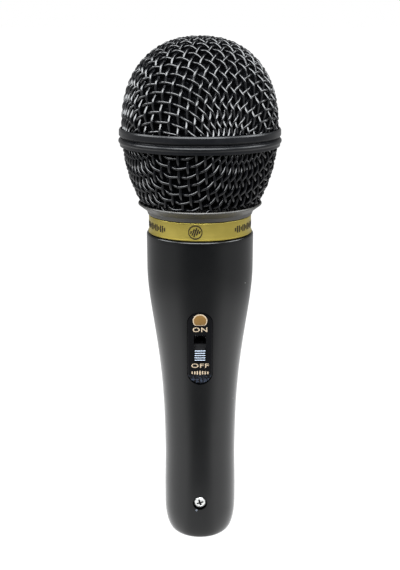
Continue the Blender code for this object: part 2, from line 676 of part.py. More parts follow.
# ---------------------------------------------------------------- wiring
def leads(holder, tag_end):
    """Four insulated wires: capsule to switch, capsule to socket, and two from switch to socket."""
    floor = PLATE_THICKNESS + GAP + HOUSING_DEPTH + 0.0029
    bpy.context.view_layer.update()
    solder = {number: holder.matrix_world @ Vector((0, floor + LEAD_RADIUS, (2 - number) * TERMINAL_PITCH))
              for number in (1, 2, 3)}
    below_tag = tag_end - GAP
    cup = INSERT_BACK + 0.0038 + GAP
    red = wire_cover("red", (0.45, 0.03, 0.03))
    white = wire_cover("white", (0.70, 0.70, 0.68))
    green = wire_cover("green", (0.03, 0.25, 0.08))
    bare = wire_cover("black", (0.02, 0.02, 0.02))

    def pin_top(number, rise=0.0):
        x, y = PIN_PLACES[number]
        return (x, y, cup + rise)

    lead("lead_capsule_to_switch", [(-0.0040, 0, below_tag), (-0.0040, 0.0002, below_tag - 0.005),
                                    (-0.0025, 0.0030, 0.0880), solder[1] + Vector((0, 0.0045, 0.004)),
                                    solder[1] + Vector((0, 0.0020, 0.0008)), solder[1]], red)
    lead("lead_capsule_to_pin_3", [(0.0040, 0, below_tag), (0.0042, 0.0008, below_tag - 0.006),
                                   (0.0052, 0.0050, 0.0820), (0.0045, 0.0062, 0.0600), (0.0020, 0.0060, 0.0420),
                                   pin_top(3, 0.006), pin_top(3)], white)
    lead("lead_switch_to_pin_2", [solder[2], solder[2] + Vector((0.0005, 0.0018, -0.0004)),
                                  solder[2] + Vector((0.0028, 0.0040, -0.006)), (0.0048, 0.0015, 0.0480),
                                  (0.0050, -0.0010, 0.0380), pin_top(2, 0.005), pin_top(2)], green)
    lead("lead_switch_to_pin_1", [solder[3], solder[3] + Vector((-0.0004, 0.0014, -0.0006)),
                                  solder[3] + Vector((-0.0030, 0.0026, -0.006)), (-0.0048, -0.0005, 0.0460),
                                  (-0.0050, -0.0018, 0.0360), pin_top(1, 0.005), pin_top(1)], bare)


# ---------------------------------------------------------------- assembly
def clear_scene():
    for existing in list(bpy.data.objects):
        bpy.data.objects.remove(existing, do_unlink=True)


def build():
    clear_scene()
    shell = handle_shell()
    connector_insert()
    connector_pins()
    connector_screw()
    neck_sleeve()
    trim_ring()
    grille_collar()
    grille_bowl()
    grille_dome()
    grille_bands()
    foam_liners()
    capsule_frame()
    rim = magnet_system()
    diaphragm(rim - 0.0032)
    capsule_front()
    tag_end = capsule_back()
    holder = switch_parent()
    switch_openings(holder, shell)
    switch_plate(holder)
    switch_housing(holder)
    switch_knob(holder)
    leads(holder, tag_end)


build()
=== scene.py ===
"""Looks of the dynamic microphone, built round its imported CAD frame.

Metres, +Z up the microphone's axis, switch towards -Y. Turned pieces are closed sections of
(radius, height) points. The grille's two halves are real woven wires, laid on a net of equal cells.
"""

import json
import math

import bmesh
import bpy
import numpy as np
from mathutils import Matrix, Vector


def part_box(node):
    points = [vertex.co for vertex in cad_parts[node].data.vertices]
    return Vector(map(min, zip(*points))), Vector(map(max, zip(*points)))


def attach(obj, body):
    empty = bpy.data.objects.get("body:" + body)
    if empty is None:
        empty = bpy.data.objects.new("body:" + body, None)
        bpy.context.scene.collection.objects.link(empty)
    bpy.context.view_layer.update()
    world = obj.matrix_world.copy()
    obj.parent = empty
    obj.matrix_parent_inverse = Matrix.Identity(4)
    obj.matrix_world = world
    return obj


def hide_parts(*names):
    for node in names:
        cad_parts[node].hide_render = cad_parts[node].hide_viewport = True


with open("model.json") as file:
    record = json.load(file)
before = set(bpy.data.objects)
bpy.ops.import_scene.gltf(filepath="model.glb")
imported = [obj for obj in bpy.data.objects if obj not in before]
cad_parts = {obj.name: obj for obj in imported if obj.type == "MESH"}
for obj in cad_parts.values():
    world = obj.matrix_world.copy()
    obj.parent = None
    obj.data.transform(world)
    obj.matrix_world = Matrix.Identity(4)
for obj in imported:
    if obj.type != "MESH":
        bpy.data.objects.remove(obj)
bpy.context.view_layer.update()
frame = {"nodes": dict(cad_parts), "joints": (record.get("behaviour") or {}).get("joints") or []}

# ---- dimensions, as in the CAD
GAP = 0.0003
HANDLE_TOP = 0.1055
BARREL_RADIUS, SHOULDER_RADIUS, RIM_RADIUS = 0.0118, 0.01715, 0.0093
TAPER_START, TAPER_END, TAPER_SKEW = 0.010, 0.094, 2.1
FOOT_FLARE, FLARE_START, FLARE_END = 0.00027, 0.030, 0.015
END_ROUND_HEIGHT = 0.0100
WALL = 0.0024
SOCKET_RADIUS = 0.00805
INSERT_BACK = 0.0240
SCREW_HEIGHT, COUNTERBORE_RADIUS, COUNTERBORE_DEPTH = 0.0142, 0.00245, 0.0019
SCREW_HEAD_RADIUS, SCREW_HEAD_HEIGHT = 0.0021, 0.0013
NECK_RADIUS, NECK_WALL, NECK_BOTTOM, NECK_TOP = 0.01445, 0.0019, 0.0920, 0.1160
TRIM_RADIUS, TRIM_BOTTOM, TRIM_TOP = 0.0164, 0.1058, 0.1112
COLLAR_RADIUS, COLLAR_BOTTOM, COLLAR_TOP, LIP_WALL = 0.0167, 0.1115, 0.1152, 0.0005
BAND_BOTTOM, BAND_SEAM, BAND_TOP = 0.1331, 0.1358, 0.1386
BAND_UPPER_RADIUS, BAND_LOWER_RADIUS = 0.0254, 0.0256
DOME_RADIUS, DOME_HEIGHT, DOME_CENTRE, DOME_POWER = 0.0247, 0.0279, 0.1386, 2.25
BOWL_RADIUS, BOWL_HEIGHT, BOWL_CENTRE, BOWL_POWER = 0.02465, 0.0348, 0.1374, 2.0
FOAM_INSET = 0.0021
PLATE_WIDTH, PLATE_LENGTH, PLATE_THICKNESS = 0.0079, 0.0254, 0.0010
SLOT_WIDTH, SLOT_LENGTH = 0.0038, 0.0092
MARKER_RADIUS, MARKER_HEIGHT = 0.0023, 0.0097
KNOB_WIDTH, KNOB_LENGTH, KNOB_PROUD, KNOB_REST, KNOB_RIBS = 0.0034, 0.0037, 0.0009, -0.0022, 5

# ---- details that only the looks have
WIRE_PITCH, WIRE_RADIUS, WIRE_SIDES, WIRE_STEPS = 0.00285, 0.00041, 8, 6
WIRE_WAVE = 0.00041             # how far a wire swings in and out of the middle surface
MIDDLE_INSET = WIRE_RADIUS + WIRE_WAVE + 0.00006
DOME_NET_TURN, BOWL_NET_TURN = math.radians(-29), math.radians(-16)
FOAM_SKIN, FOAM_PITTING = 0.0020, 0.00009
SEAM = 0.0001                   # between the two rings of the band
MESH_LIP, BAND_EASE = 0.00012, 0.00012      # room outside the mesh's edge, and eased corners
THREAD_PITCH, THREAD_CUT, LEAD_IN = 0.0010, 0.00045, 0.0006
CUTTER_REACH = 0.004            # how far a cutter stands out of what it cuts
POCKET_ROOM = 0.0004            # of the switch plate's pocket, over the plate's size
WINDOW_WIDTH, WINDOW_LENGTH, WINDOW_DEPTH = 0.0074, 0.0158, 0.006       # behind the switch plate
KEY_NOTCH, KEY_HEIGHT = (0.0032, 0.0026, 0.0026), 0.0052        # in the socket's wall, at +Y
SHANK_HOLE_RADIUS = 0.0015
SHOE_SIZE = (0.0048, 0.0010, 0.0058)
CROSS_HALF, CROSS_WIDE, CROSS_DEEP, CROSS_TURN = 0.0015, 0.00036, 0.0012, 18     # in the screw
BADGE_RADIUS, BADGE_TURN, BADGE_STEPS = 0.00205, math.radians(-5), 48
PRINT_PROUD, WORD_PROUD = 0.00004, 0.00006
WORDS = (("word_on", "ON", 0.0046, 0.0016, 0.0066), ("word_off", "OFF", 0.0056, 0.0015, -0.0062))
BARS, BAR_WIDTH, BAR_PITCH, BARS_HEIGHT = 7, 0.00044, 0.00084, -0.0088
SIDES, BAND_SIDES, RING_SIDES, SCREW_SIDES = 144, 192, 160, 48
SQUARE = ((-1, -1), (1, -1), (1, 1), (-1, 1))

# ---- studio
CAMERA_PLACE, CAMERA_TILT, CAMERA_LENS, CAMERA_SENSOR = (0, -0.296, 0.171), 74.2, 59.24, 36
WALL_LIGHT, CEILING_LIGHT = 0.40, 0.10
FRONT_SHARE, FRONT_FROM, FRONT_TO = 0.04, -1.0, -0.72     # the dark gap in front, by the direction's Y
FLOOR_TO = -0.50                # where the gap ends on the far floor
FOOT_SHARE, FOOT_INNER, FOOT_OUTER = 0.65, 0.02, 0.09     # light in the gap close to the foot
POOL_INNER, POOL_OUTER, POOL_LIGHT, FLOOR_LIGHT = 0.11, 0.26, 1.30, 0.50


# ---- outlines
def smooth_step(share, skew=1.0):
    held = min(max(share, 0.0), 1.0) ** skew
    return held * held * (3 - 2 * held)


def handle_radius(height):
    """Outer radius of the handle, as in the CAD."""
    taper = smooth_step((height - TAPER_START) / (TAPER_END - TAPER_START), TAPER_SKEW)
    flare = smooth_step((height - FLARE_START) / (FLARE_END - FLARE_START))
    radius = BARREL_RADIUS + (SHOULDER_RADIUS - BARREL_RADIUS) * taper + FOOT_FLARE * flare
    if height < END_ROUND_HEIGHT:
        share = 1 - height / END_ROUND_HEIGHT
        radius -= (BARREL_RADIUS + FOOT_FLARE - RIM_RADIUS) * (1 - math.sqrt(1 - share ** 2))
    return radius


def bowl_radius(height, inset=0.0):
    """Outer radius of the lower mesh, less an inset."""
    share = (BOWL_CENTRE - height) / BOWL_HEIGHT
    return BOWL_RADIUS * math.sqrt(1 - share ** 2) - inset


# ---- material helpers
def new_node(tree, kind, links=None, **settings):
    """A new node. Settings named after a socket set it, the rest are the node's own properties."""
    made = tree.nodes.new(kind)
    for key, value in settings.items():
        if key in made.inputs.keys():
            made.inputs[key].default_value = value
        else:
            setattr(made, key, value)
    for key, source in (links or {}).items():
        tree.links.new(source, made.inputs[key])
    return made


def remapped(tree, source, low, high, to_low, to_high, **settings):
    """The value moved from one range to another, and clamped to it."""
    made = new_node(tree, "ShaderNodeMapRange", {"Value": source}, **settings)
    for key, value in zip(("From Min", "From Max", "To Min", "To Max"), (low, high, to_low, to_high)):
        made.inputs[key].default_value = value
    return made.outputs["Result"]


def product(tree, first, second):
    return new_node(tree, "ShaderNodeMath", {0: first, 1: second}, operation="MULTIPLY").outputs[0]


class Look:
    """A node material that grows from one Principled shader."""

    def __init__(self, name, colour, roughness, metallic=0.0, **inputs):
        self.material = bpy.data.materials.new(name)
        self.material.use_nodes = True
        self.tree = self.material.node_tree
        self.shader = self.tree.nodes["Principled BSDF"]
        self.shader.inputs["Base Color"].default_value = (*colour, 1)
        self.shader.inputs["Roughness"].default_value = roughness
        self.shader.inputs["Metallic"].default_value = metallic
        for key, value in inputs.items():
            self.shader.inputs[key.replace("_", " ")].default_value = value
        self.place = self.node("ShaderNodeTexCoord").outputs["Object"]

    def node(self, kind, links=None, **settings):
        return new_node(self.tree, kind, links, **settings)

    def noise(self, size, detail, stretch=None):
        """Noise whose blobs are about size across, in metres, stretched along an axis if asked."""
        place = self.place
        if stretch:
            place = self.node("ShaderNodeMapping", {"Vector": place}, Scale=stretch).outputs["Vector"]
        made = self.node("ShaderNodeTexNoise", {"Vector": place}, Scale=1 / size, Detail=detail)
        return made.outputs["Fac"]

    def remap(self, source, low, high, to_low, to_high):
        return remapped(self.tree, source, low, high, to_low, to_high)

    def times(self, first, second):
        return product(self.tree, first, second)

    def near(self, point, radius, ragged=0.0002):
        """1 within a ragged spot round a point, in metres, and 0 outside it."""
        away = self.node("ShaderNodeVectorMath", {0: self.place}, operation="DISTANCE")
        away.inputs[1].default_value = point
        edge = self.remap(self.noise(0.0004, 3), 0.3, 0.7, -ragged, ragged)
        reach = self.node("ShaderNodeMath", {0: away.outputs["Value"], 1: edge}, operation="ADD").outputs[0]
        return self.remap(reach, radius, radius * 0.6, 0, 1)

    def mix(self, factor, first, second):
        """Colour mix of two colours or sockets."""
        made = self.node("ShaderNodeMix", {"Factor": factor}, data_type="RGBA")
        colours = [socket for socket in made.inputs if socket.type == "RGBA"]
        for socket, value in zip(colours, (first, second)):
            if isinstance(value, tuple):
                socket.default_value = (*value, 1)
            else:
                self.tree.links.new(value, socket)
        return made.outputs[2]

    def set(self, name, source):
        self.tree.links.new(source, self.shader.inputs[name])

    def paint(self, factor, first, second):
        self.set("Base Color", self.mix(factor, first, second))

    def gloss(self, source, low, high):
        """Roughness that follows a noise from low to high."""
        self.set("Roughness", self.remap(source, 0.3, 0.7, low, high))

    def bump(self, source, depth, strength):
        """Adds a bump of the given depth in metres under any bump that is already there."""
        made = self.node("ShaderNodeBump", {"Height": source}, Strength=strength, Distance=depth)
        socket = self.shader.inputs["Normal"]
        if socket.links:
            self.tree.links.new(socket.links[0].from_socket, made.inputs["Normal"])
        self.tree.links.new(made.outputs["Normal"], socket)


def handle_look():
    """Satin black paint: faint orange peel, slow blotches, a little dust and a chip below the screw."""
    look = Look("satin_black_paint", (0.008, 0.0085, 0.009), 0.30, Specular_IOR_Level=0.37)
    blotch = look.remap(look.noise(0.012, 4), 0.35, 0.65, 0, 1)
    base = look.mix(blotch, (0.0002, 0.0003, 0.0005), (0.0006, 0.0007, 0.0008))
    dust = look.node("ShaderNodeTexVoronoi", {"Vector": look.place}, Scale=150.0, Randomness=1.0)
    speck = look.remap(dust.outputs["Distance"], 0.014, 0.026, 1, 0)
    dusty = look.mix(speck, base, (0.30, 0.30, 0.29))
    chip = look.near((-0.0012, -handle_radius(SCREW_HEIGHT), SCREW_HEIGHT - 0.0026), 0.00040)
    look.paint(chip, dusty, (0.09, 0.10, 0.12))
    look.gloss(look.noise(0.004, 5), 0.20, 0.26)
    look.bump(look.noise(0.00022, 2), 0.000012, 0.7)
    look.bump(look.noise(0.0016, 2), 0.000010, 0.5)
    return look.material


def band_look():
    """Satin black with fine turning lines."""
    look = Look("satin_band_paint", (0.012, 0.0125, 0.014), 0.30, Specular_IOR_Level=0.25)
    lines = look.noise(0.0006, 2, (0.02, 0.02, 3.0))
    look.gloss(look.noise(0.003, 4), 0.26, 0.36)
    look.paint(lines, (0.0010, 0.0012, 0.0018), (0.0026, 0.0028, 0.0036))
    look.bump(lines, 0.000010, 0.5)
    look.bump(look.noise(0.0002, 2), 0.000006, 0.5)
    return look.material


def collar_look():
    """Dark grey satin metal, turned, with a fine tooth."""
    look = Look("collar_satin_grey", (0.050, 0.048, 0.045), 0.42, 0.35)
    lines = look.noise(0.0005, 2, (0.02, 0.02, 3.0))
    look.paint(lines, (0.029, 0.028, 0.026), (0.043, 0.041, 0.037))
    look.gloss(look.noise(0.003, 4), 0.36, 0.48)
    look.bump(lines, 0.000010, 0.6)
    return look.material


def wire_look(name, shine, roughness):
    """Black gloss paint on steel wire."""
    look = Look(name, (0.002, 0.0022, 0.003), roughness, Specular_IOR_Level=shine)
    look.paint(look.noise(0.004, 4), (0.0008, 0.0009, 0.0014), (0.0018, 0.0019, 0.0025))
    look.gloss(look.noise(0.0015, 4), roughness - 0.05, roughness + 0.05)
    look.bump(look.noise(0.00035, 3), 0.000020, 0.5)
    return look.material


def foam_look():
    """Open-cell foam: near black, pitted, with painted glints, a lighter colour on cell walls where they
    would catch the light.
    """
    look = Look("open_cell_foam", (0.002, 0.002, 0.003), 0.9, Specular_IOR_Level=0.03)
    cells = look.node("ShaderNodeTexVoronoi", {"Vector": look.place}, Scale=2600.0,
                      feature="DISTANCE_TO_EDGE").outputs["Distance"]
    walls = look.remap(cells, 0.0, 0.12, 1, 0)
    # Painted highlight: a lighter colour on a random share of the cell walls stands for glints.
    painted_glints = look.times(walls, look.remap(look.noise(0.0009, 3), 0.55, 0.66, 0, 1))
    look.paint(painted_glints, (0.0003, 0.0003, 0.0005), (0.016, 0.017, 0.020))
    look.bump(cells, 0.00020, 1.0)
    return look.material


def gold_look():
    """Satin gold: brushed round the ring, with slow changes of tone."""
    look = Look("satin_gold", (0.50, 0.40, 0.12), 0.36, 0.75)
    brushed = look.noise(0.00035, 3, (0.05, 0.05, 2.0))
    slow = look.remap(look.noise(0.010, 3), 0.35, 0.65, 0, 1)
    tone = look.mix(slow, (0.255, 0.205, 0.039), (0.33, 0.267, 0.056))
    look.paint(look.remap(brushed, 0.3, 0.7, 0.0, 0.25), tone, (0.18, 0.13, 0.03))
    look.gloss(brushed, 0.28, 0.42)
    look.bump(brushed, 0.000006, 0.5)
    return look.material


def plate_look():
    """Gloss black moulding with hairline scratches, and scuffed at its lower end."""
    look = Look("gloss_black_moulding", (0.001, 0.001, 0.0014), 0.22, Specular_IOR_Level=0.2)
    scratches = look.noise(0.0008, 2, (6.0, 6.0, 0.25))
    look.set("Roughness", look.remap(scratches, 0.35, 0.65, 0.17, 0.28))
    clean = look.mix(look.noise(0.003, 3), (0.0006, 0.0006, 0.0009), (0.0014, 0.0014, 0.0019))
    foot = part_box("switch_plate")[0].z
    height = look.node("ShaderNodeSeparateXYZ", {0: look.place}).outputs["Z"]
    rubbed = look.times(look.remap(height, foot, foot + 0.0036, 1, 0),
                        look.remap(look.noise(0.0006, 4), 0.48, 0.62, 0, 1))
    look.paint(rubbed, clean, (0.040, 0.052, 0.080))
    look.bump(look.noise(0.0003, 2), 0.000005, 0.5)
    return look.material


def knob_look():
    """Pale blue-grey moulding, rubbed on its ribs."""
    look = Look("grey_knob_moulding", (0.36, 0.40, 0.46), 0.38)
    look.paint(look.noise(0.0012, 4), (0.27, 0.32, 0.39), (0.42, 0.47, 0.55))
    look.gloss(look.noise(0.0006, 3), 0.32, 0.5)
    look.bump(look.noise(0.0002, 2), 0.000006, 0.6)
    return look.material


def plastic_look(name, colour, roughness=0.5, grain=0.0003):
    """Moulded plastic or rubber in a given colour, with a fine grain and uneven gloss."""
    look = Look(name, colour, roughness)
    darker = tuple(0.75 * channel for channel in colour)
    lighter = tuple(min(1.2 * channel, 1.0) for channel in colour)
    look.paint(look.noise(0.002, 3), darker, lighter)
    look.gloss(look.noise(0.0012, 3), roughness - 0.06, roughness + 0.08)
    look.bump(look.noise(grain, 2), 0.000012, 0.6)
    return look.material


def metal_look(name, colour, roughness, lines=(1.0, 1.0, 1.0)):
    """Bare or plated metal with machining marks and light tarnish."""
    look = Look(name, colour, roughness, 1.0)
    darker = tuple(0.72 * channel for channel in colour)
    look.paint(look.noise(0.0015, 4), darker, colour)
    marks = look.noise(0.0003, 3, lines)
    look.gloss(marks, roughness - 0.08, roughness + 0.10)
    look.bump(marks, 0.000006, 0.5)
    return look.material


def screw_look():
    """Zinc-plated steel, bright on the head, with painted shade near black in its cross recess."""
    look = Look("zinc_plated_screw", (0.92, 0.92, 0.90), 0.42, 1.0)
    top = -(handle_radius(SCREW_HEIGHT) - COUNTERBORE_DEPTH + GAP + SCREW_HEAD_HEIGHT)
    inward = look.node("ShaderNodeSeparateXYZ", {0: look.place}).outputs["Y"]
    # Painted shade: the cross recess is coloured near black deeper than about half a millimetre below the
    # head's top.
    recess_shade = look.times(look.near((0, top, SCREW_HEIGHT), 0.0022, 0.0001),
                        look.remap(inward, top + 0.00032, top + 0.00050, 0, 1))
    plated = look.mix(look.noise(0.0015, 4), (0.70, 0.70, 0.69), (0.92, 0.92, 0.90))
    look.paint(recess_shade, plated, (0.012, 0.012, 0.014))
    marks = look.noise(0.0003, 3)
    look.gloss(marks, 0.34, 0.50)
    look.bump(marks, 0.000006, 0.5)
    return look.material


def ink_look(name, colour, shine=0.5):
    """Printed ink, slightly uneven."""
    look = Look(name, colour, 0.5, Specular_IOR_Level=shine)
    thin = tuple(0.8 * channel for channel in colour)
    look.paint(look.noise(0.0004, 3), thin, colour)
    look.gloss(look.noise(0.0003, 2), 0.42, 0.6)
    look.bump(look.noise(0.00015, 2), 0.000006, 0.5)
    return look.material


LOOKS = {
    "handle": handle_look(), "band": band_look(), "collar": collar_look(),
    "dome_wire": wire_look("dome_wire_paint", 0.64, 0.23),
    "bowl_wire": wire_look("bowl_wire_paint", 0.42, 0.15),
    "foam": foam_look(), "gold": gold_look(), "plate": plate_look(), "knob": knob_look(),
    "black": plastic_look("black_moulding", (0.003, 0.003, 0.0034), 0.42),
    "rubber": plastic_look("soft_rubber", (0.018, 0.018, 0.018), 0.75, 0.0005),
    "steel": metal_look("bright_steel", (0.66, 0.66, 0.67), 0.26),
    "screw": screw_look(),
    "magnet": metal_look("ground_magnet", (0.40, 0.40, 0.42), 0.38, (1.0, 1.0, 6.0)),
    # Black oxide, also used as painted shade on the copper contact clip.
    "oxide_and_shade": metal_look("black_oxide_and_painted_shade", (0.020, 0.020, 0.022), 0.45),
    "copper": metal_look("copper_alloy", (0.76, 0.40, 0.22), 0.34),
    "contact": metal_look("plated_contact", (0.82, 0.66, 0.34), 0.24, (1.0, 1.0, 0.2)),
    "film": plastic_look("polyester_film", (0.70, 0.66, 0.54), 0.22, 0.0008),
    "board": plastic_look("phenolic_board", (0.26, 0.14, 0.05), 0.55, 0.0002),
    "red": plastic_look("red_wire_cover", (0.45, 0.03, 0.03)),
    "white": plastic_look("white_wire_cover", (0.68, 0.68, 0.66)),
    "green": plastic_look("green_wire_cover", (0.03, 0.25, 0.08)),
    "dark_ink": ink_look("dark_ink", (0.009, 0.005, 0.002), 0.2),
    "cream_ink": ink_look("cream_ink", (0.35, 0.275, 0.19)),
    "amber_ink": ink_look("amber_ink", (0.130, 0.066, 0.011)),
}


# ---- modelling helpers
def add_object(name, data):
    made = bpy.data.objects.new(name, data)
    bpy.context.scene.collection.objects.link(made)
    return made


def solid_mesh(builder, name):
    """The bmesh as a mesh, with its faces turned outwards. The bmesh is freed."""
    bmesh.ops.recalc_face_normals(builder, faces=builder.faces)
    mesh = bpy.data.meshes.new(name)
    builder.to_mesh(mesh)
    builder.free()
    return mesh


def finish_mesh(builder, name, look, body, replaced=(), angle=35):
    """Makes the object from a bmesh with its look's material, shades it, puts it under its body and hides
    the CAD nodes it replaces.
    """
    made = add_object(name, solid_mesh(builder, name))
    made.data.materials.append(LOOKS[look])
    made.data.shade_smooth()
    made.data.set_sharp_from_angle(angle=math.radians(angle))
    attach(made, body)
    if replaced:
        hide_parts(*replaced)
    return made


def moved(builder, matrix):
    bmesh.ops.transform(builder, matrix=matrix, verts=builder.verts)
    return builder


def add_block(builder, corners):
    """Adds a block on eight corners: four round one face, then the four opposite them."""
    made = [builder.verts.new(corner) for corner in corners]
    for face in ((3, 2, 1, 0), (4, 5, 6, 7), (0, 1, 5, 4), (1, 2, 6, 5), (2, 3, 7, 6), (3, 0, 4, 7)):
        builder.faces.new([made[k] for k in face])
    return builder


def add_box(builder, size, centre):
    """Adds an upright box to a bmesh."""
    corners = bmesh.ops.create_cube(builder, size=1.0)["verts"]
    bmesh.ops.scale(builder, vec=size, verts=corners)
    bmesh.ops.translate(builder, vec=centre, verts=corners)
    return builder


def arc(centre, radii, start, end, steps):
    """Points on an elliptical arc, with angles in degrees."""
    swept = [math.radians(start + (end - start) * i / steps) for i in range(steps + 1)]
    return [(centre[0] + radii[0] * math.cos(a), centre[1] + radii[1] * math.sin(a)) for a in swept]


def rounded(outline, radius, steps=3):
    """The outline with its corners eased by short curves that start up to radius from each corner."""
    found = []
    count = len(outline)
    for i, point in enumerate(outline):
        here = Vector(point)
        before, after = Vector(outline[i - 1]), Vector(outline[(i + 1) % count])
        back, ahead = before - here, after - here
        if back.length < 1e-9 or ahead.length < 1e-9 or back.angle(-ahead) < math.radians(12):
            found.append(here)
            continue
        start = here + back.normalized() * min(radius, back.length * 0.45)
        end = here + ahead.normalized() * min(radius, ahead.length * 0.45)
        for step in range(steps + 1):
            t = step / steps
            found.append(start * (1 - t) ** 2 + here * 2 * t * (1 - t) + end * t ** 2)
    return [tuple(point) for point in found]


def spun(section, sides=SIDES):
    """A bmesh of a closed (radius, height) section spun about Z. Points on the axis close up."""
    builder = bmesh.new()
    poles, rings = {}, []
    turns = [(math.cos(math.tau * k / sides), math.sin(math.tau * k / sides)) for k in range(sides)]
    for i, (radius, height) in enumerate(section):
        if radius < 1e-7:
            poles[i] = builder.verts.new((0, 0, height))
            rings.append(None)
        else:
            rings.append([builder.verts.new((radius * x, radius * y, height)) for x, y in turns])
    for i in range(len(section)):
        first, second = rings[i - 1], rings[i]
        if first is None and second is None:
            continue
        for k in range(sides):
            after = (k + 1) % sides
            if first is None:
                builder.faces.new((poles[(i - 1) % len(section)], second[after], second[k]))
            elif second is None:
                builder.faces.new((first[k], first[after], poles[i]))
            else:
                builder.faces.new((first[k], first[after], second[after], second[k]))
    return builder


def turned(name, section, look, body, replaced, sides=SIDES, place=None):
    """A piece spun from its closed section, and moved to a place if asked."""
    builder = spun(section, sides)
    if place:
        moved(builder, place)
    return finish_mesh(builder, name, look, body, replaced)


def slab(outline, depth, ease=0.0, steps=2):
    """A bmesh of a flat outline in XZ, from y = 0 to depth, with its front edge eased."""
    builder = bmesh.new()
    layers = [(depth, 0.0), (ease, 0.0)]
    for step in range(1, steps + 1 if ease else 1):
        angle = math.pi / 2 * step / steps
        layers.append((ease * (1 - math.sin(angle)), ease * (1 - math.cos(angle))))
    rings = []
    for y, inset in layers:
        rings.append([builder.verts.new((x, y, z)) for x, z in inset_outline(outline, inset)])
    for lower, upper in zip(rings, rings[1:]):
        for k in range(len(outline)):
            after = (k + 1) % len(outline)
            builder.faces.new((lower[k], lower[after], upper[after], upper[k]))
    builder.faces.new(rings[0])
    builder.faces.new(rings[-1])
    return builder


def inset_outline(outline, inset):
    """The outline moved inwards by inset, corner by corner. The outline runs anticlockwise."""
    if inset == 0:
        return outline
    found = []
    count = len(outline)
    for i in range(count):
        before, here, after = (Vector(outline[k % count]) for k in (i - 1, i, i + 1))
        first, second = (here - before).normalized(), (after - here).normalized()
        normals = [Vector((-side.y, side.x)) for side in (first, second)]
        bisector = normals[0] + normals[1]
        found.append(tuple(here + bisector * inset / max(bisector.length_squared / 2, 0.3)))
    return found


def stadium(width, length, steps=20):
    """An upright outline with round ends, as (x, z) points."""
    radius = width / 2
    straight = length / 2 - radius
    top = arc((0, straight), (radius, radius), 0, 180, steps)
    return top + arc((0, -straight), (radius, radius), 180, 360, steps)


def rectangle(width, length):
    """An upright rectangle, as (x, z) points."""
    return [(x * width / 2, z * length / 2) for x, z in ((1, 1), (-1, 1), (-1, -1), (1, -1))]


def cut_with(made, *tools):
    """Cuts closed bmeshes from an object with exact Booleans, and keeps the result as plain mesh."""
    for tool in tools:
        cutter = add_object("cutter", solid_mesh(tool, "cutter"))
        modifier = made.modifiers.new("cut", "BOOLEAN")
        modifier.operation = "DIFFERENCE"
        modifier.solver = "EXACT"
        modifier.object = cutter
        bpy.context.view_layer.update()
        evaluated = made.evaluated_get(bpy.context.evaluated_depsgraph_get())
        result = bpy.data.meshes.new_from_object(evaluated)
        made.modifiers.clear()
        made.data = result
        bpy.data.objects.remove(cutter)


# ---- woven grille
class RoundSurface:
    """A superellipsoid of revolution, |r/R|^q + |h/H|^q = 1, where h runs up to the pole at h = H."""

    def __init__(self, radius, height, power):
        self.radius, self.height, self.power = radius, height, power

    def value(self, points):
        r = np.hypot(points[..., 0], points[..., 1])
        h = np.maximum(points[..., 2], 0.0)
        return (r / self.radius) ** self.power + (h / self.height) ** self.power - 1

    def gradient(self, points):
        r = np.maximum(np.hypot(points[..., 0], points[..., 1]), 1e-9)
        h = np.maximum(points[..., 2], 0.0)
        along_r = self.power * (r / self.radius) ** (self.power - 1) / self.radius
        along_h = self.power * (h / self.height) ** (self.power - 1) / self.height
        return np.stack([along_r * points[..., 0] / r, along_r * points[..., 1] / r, along_h], axis=-1)

    def normal(self, points):
        found = self.gradient(points)
        return found / np.linalg.norm(found, axis=-1, keepdims=True)

    def meridian(self, spacing, count):
        """Points on one meridian from the pole, each spacing from the last, and on down a straight side."""
        angles = np.linspace(math.pi / 2, 0, 4000)
        drop = np.linspace(0, 0.03, 600)
        line_r = np.append(self.radius * np.cos(angles) ** (2 / self.power), self.radius + 0 * drop)
        line_h = np.append(self.height * np.sin(angles) ** (2 / self.power), -drop)
        found, start = [(0.0, self.height)], 0
        for _ in range(count):
            away = np.hypot(line_r - found[-1][0], line_h - found[-1][1])
            ahead = np.nonzero(away[start:] >= spacing)[0]
            start += int(ahead[0])
            found.append((float(line_r[start]), float(line_h[start])))
        return found

    def meet(self, first, second, guess, spacing):
        """The surface point near guess that is spacing away from both of two points, by Newton's method."""
        point = guess.copy()
        for _ in range(12):
            to_first, to_second = point - first, point - second
            misses = np.array([self.value(point), to_first @ to_first - spacing ** 2,
                               to_second @ to_second - spacing ** 2])
            slopes = np.array([self.gradient(point), 2 * to_first, 2 * to_second])
            step = np.linalg.lstsq(slopes, misses, rcond=1e-3)[0]
            length = np.linalg.norm(step)
            point = point - step * min(1.0, 0.5 * spacing / max(length, 1e-12))
            if length < 1e-9:
                break
        return point


def net_quadrant(surface, spacing, count):
    """Nodes of a net with equal cell sides, from the pole out, between two meridians at right angles."""
    side = surface.meridian(spacing, count)
    nodes = np.zeros((count + 1, count + 1, 3))
    for i, (r, h) in enumerate(side):
        nodes[i, 0] = (r, 0, h)
        nodes[0, i] = (0, r, h)
    for total in range(2, 2 * count + 1):
        for i in range(max(1, total - count), min(count, total - 1) + 1):
            j = total - i
            first, second = nodes[i - 1, j], nodes[i, j - 1]
            guess = first + second - nodes[i - 1, j - 1]
            nodes[i, j] = surface.meet(first, second, guess, spacing)
    return nodes


def whole_net(surface, spacing, count):
    """All four quadrants of the net, indexed [i + count, j + count]."""
    quarter = net_quadrant(surface, spacing, count)
    half = np.concatenate([quarter[:0:-1] * (-1, 1, 1), quarter])
    return np.concatenate([half[:, :0:-1] * (1, -1, 1), half], axis=1)


